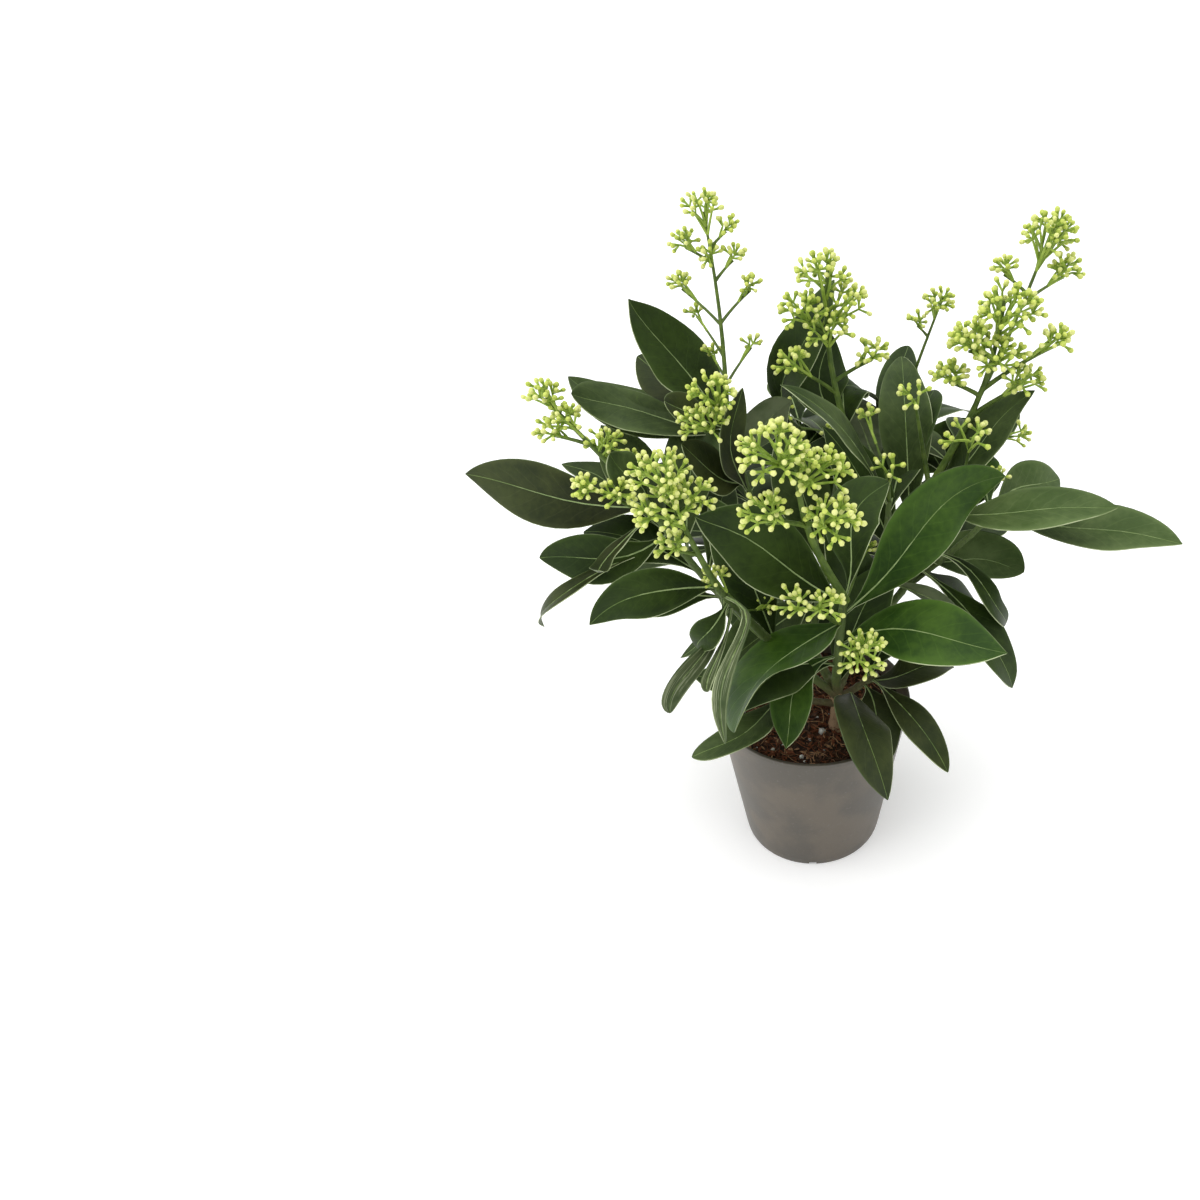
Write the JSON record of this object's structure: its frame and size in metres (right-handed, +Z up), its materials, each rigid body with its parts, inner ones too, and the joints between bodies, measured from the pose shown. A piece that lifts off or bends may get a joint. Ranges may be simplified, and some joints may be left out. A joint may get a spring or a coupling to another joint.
{
  "type": "potted flowering shrub",
  "caption": "Compact evergreen shrub in a round nursery pot: branching stems, whorls of leathery oval leaves and upright clusters of small pale green flower buds.",
  "frame": {"origin": "centre of the pot's flat underside, on the ground", "axes": "+Z up, -Y towards the plant's front, +X to its right as seen from the front"},
  "size_m": [0.4197, 0.3067, 0.408],
  "materials": {
    "pot_plastic": "thin matte grey-brown nursery plastic",
    "medium": "damp reddish-brown bark fibre with pale grit",
    "bark": "tan-brown young bark",
    "green_stem": "smooth green young wood",
    "leaf": "leathery dark green leaf, satin",
    "flower_bud": "closed cream-green flower buds on lime stalks"
  },
  "bodies": {
    "root": {"bloom_back_left": "flower_bud", "bloom_back_left_low": "flower_bud", "bloom_centre_back": "flower_bud", "bloom_far_right": "flower_bud", "bloom_front": "flower_bud", "bloom_front_inner": "flower_bud", "bloom_front_low": "flower_bud", "bloom_front_low_right": "flower_bud", "bloom_left": "flower_bud", "bloom_left_front": "flower_bud", "bloom_left_front_low": "flower_bud", "bloom_left_low": "flower_bud", "bloom_middle": "flower_bud", "bloom_rear_left": "flower_bud", "bloom_rear_mid": "flower_bud", "bloom_rear_right": "flower_bud", "bloom_right": "flower_bud", "bloom_right_back": "flower_bud", "bloom_right_back_low": "flower_bud", "bloom_right_low": "flower_bud", "bough_back_left": "green_stem", "bough_centre_back": "green_stem", "bough_far_right": "green_stem", "bough_front": "green_stem", "bough_left": "green_stem", "bough_left_front": "green_stem", "bough_low_left": "green_stem", "bough_low_right": "green_stem", "bough_middle": "green_stem", "bough_rear_left": "green_stem", "bough_rear_low_left": "green_stem", "bough_rear_low_right": "green_stem", "bough_rear_mid": "green_stem", "bough_rear_right": "green_stem", "bough_right": "green_stem", "bough_right_back": "green_stem", "growing_medium": "medium", "leaves_back_left": "leaf", "leaves_centre_back": "leaf", "leaves_far_right": "leaf", "leaves_front": "leaf", "leaves_left": "leaf", "leaves_left_front": "leaf", "leaves_low_left": "leaf", "leaves_low_right": "leaf", "leaves_middle": "leaf", "leaves_rear_left": "leaf", "leaves_rear_low_left": "leaf", "leaves_rear_low_right": "leaf", "leaves_rear_mid": "leaf", "leaves_rear_right": "leaf", "leaves_right": "leaf", "leaves_right_back": "leaf", "pot": "pot_plastic", "trunk": "bark"}
  },
  "joints": []
}
